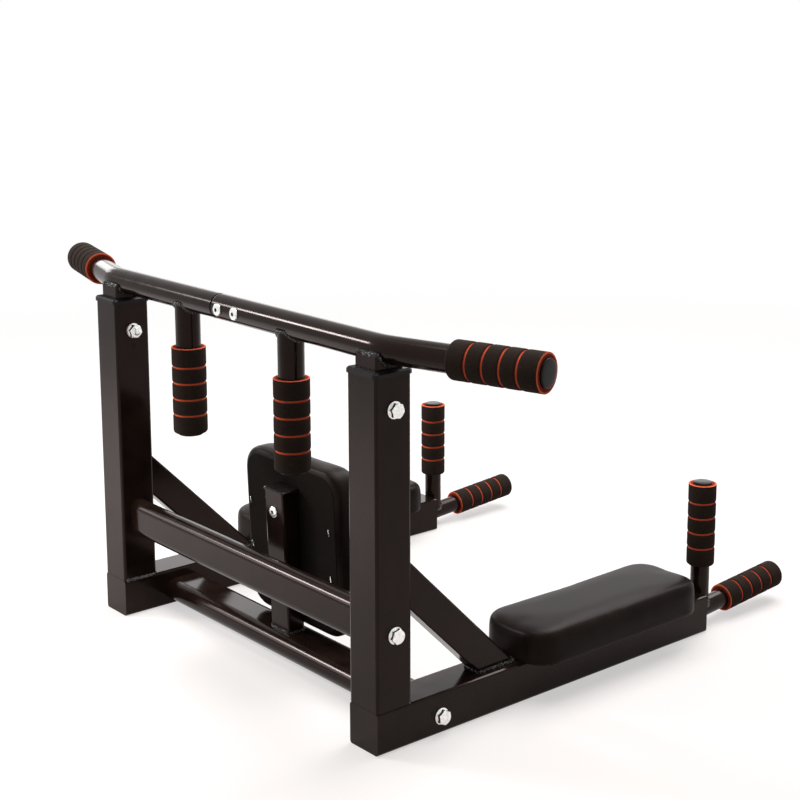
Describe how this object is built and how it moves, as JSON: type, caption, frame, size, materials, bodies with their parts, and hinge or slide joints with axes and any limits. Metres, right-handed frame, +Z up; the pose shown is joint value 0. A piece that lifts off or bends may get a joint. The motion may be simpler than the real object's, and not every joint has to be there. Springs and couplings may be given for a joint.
{
  "type": "wall-mounted pull-up bar",
  "caption": "Steel wall frame with a bent pull-up bar, hanging grips, a padded back rest, padded arm rests and dip handles, for use either way up on a wall.",
  "frame": {"origin": "on the floor under the middle of the frame's bounding box, midway between the uprights", "axes": "+X along the pull-up bar, +Y from the wall towards the dip handles, +Z up from the arms to the bar"},
  "size_m": [0.97, 0.7448, 0.485],
  "materials": {
    "powder_coat": "gloss",
    "plastic": "satin",
    "foam": "matte",
    "vinyl": "satin",
    "plywood": "matte",
    "zinc": "satin"
  },
  "bodies": {
    "root": {"arm_left": "powder_coat", "arm_right": "powder_coat", "upright_left": "powder_coat", "upright_right": "powder_coat", "brace_left": "powder_coat", "brace_right": "powder_coat", "mid_beam": "powder_coat", "low_beam": "powder_coat", "stub_left": "powder_coat", "stub_right": "powder_coat", "bar_left": "powder_coat", "bar_right": "powder_coat", "bar_sleeve": "powder_coat", "hanging_tube_left": "powder_coat", "hanging_tube_right": "powder_coat", "forward_handle_left": "powder_coat", "forward_handle_right": "powder_coat", "vertical_handle_left": "powder_coat", "vertical_handle_right": "powder_coat", "back_post": "powder_coat", "collar_left": "plastic", "collar_right": "plastic", "back_post_cap": "plastic", "bar_plug_left": "plastic", "bar_plug_right": "plastic", "hanging_plug_left": "plastic", "hanging_plug_right": "plastic", "forward_plug_left": "plastic", "forward_plug_right": "plastic", "vertical_plug_left": "plastic", "vertical_plug_right": "plastic", "bar_grip_left": "foam", "bar_grip_right": "foam", "hanging_grip_left": "foam", "hanging_grip_right": "foam", "forward_grip_left": "foam", "forward_grip_right": "foam", "vertical_grip_left": "foam", "vertical_grip_right": "foam", "back_board": "plywood", "arm_left_board": "plywood", "arm_right_board": "plywood", "back_pad": "vinyl", "arm_left_pad": "vinyl", "arm_right_pad": "vinyl", "top_bolt_left": "zinc", "top_bolt_right": "zinc", "mid_bolt_left": "zinc", "mid_bolt_right": "zinc", "low_bolt_left": "zinc", "low_bolt_right": "zinc", "bar_bolt_left": "zinc", "bar_bolt_right": "zinc", "back_bolt_1": "zinc", "back_bolt_2": "zinc", "arm_bolt_left_1": "zinc", "arm_bolt_left_2": "zinc", "arm_bolt_right_1": "zinc", "arm_bolt_right_2": "zinc"}
  },
  "joints": []
}
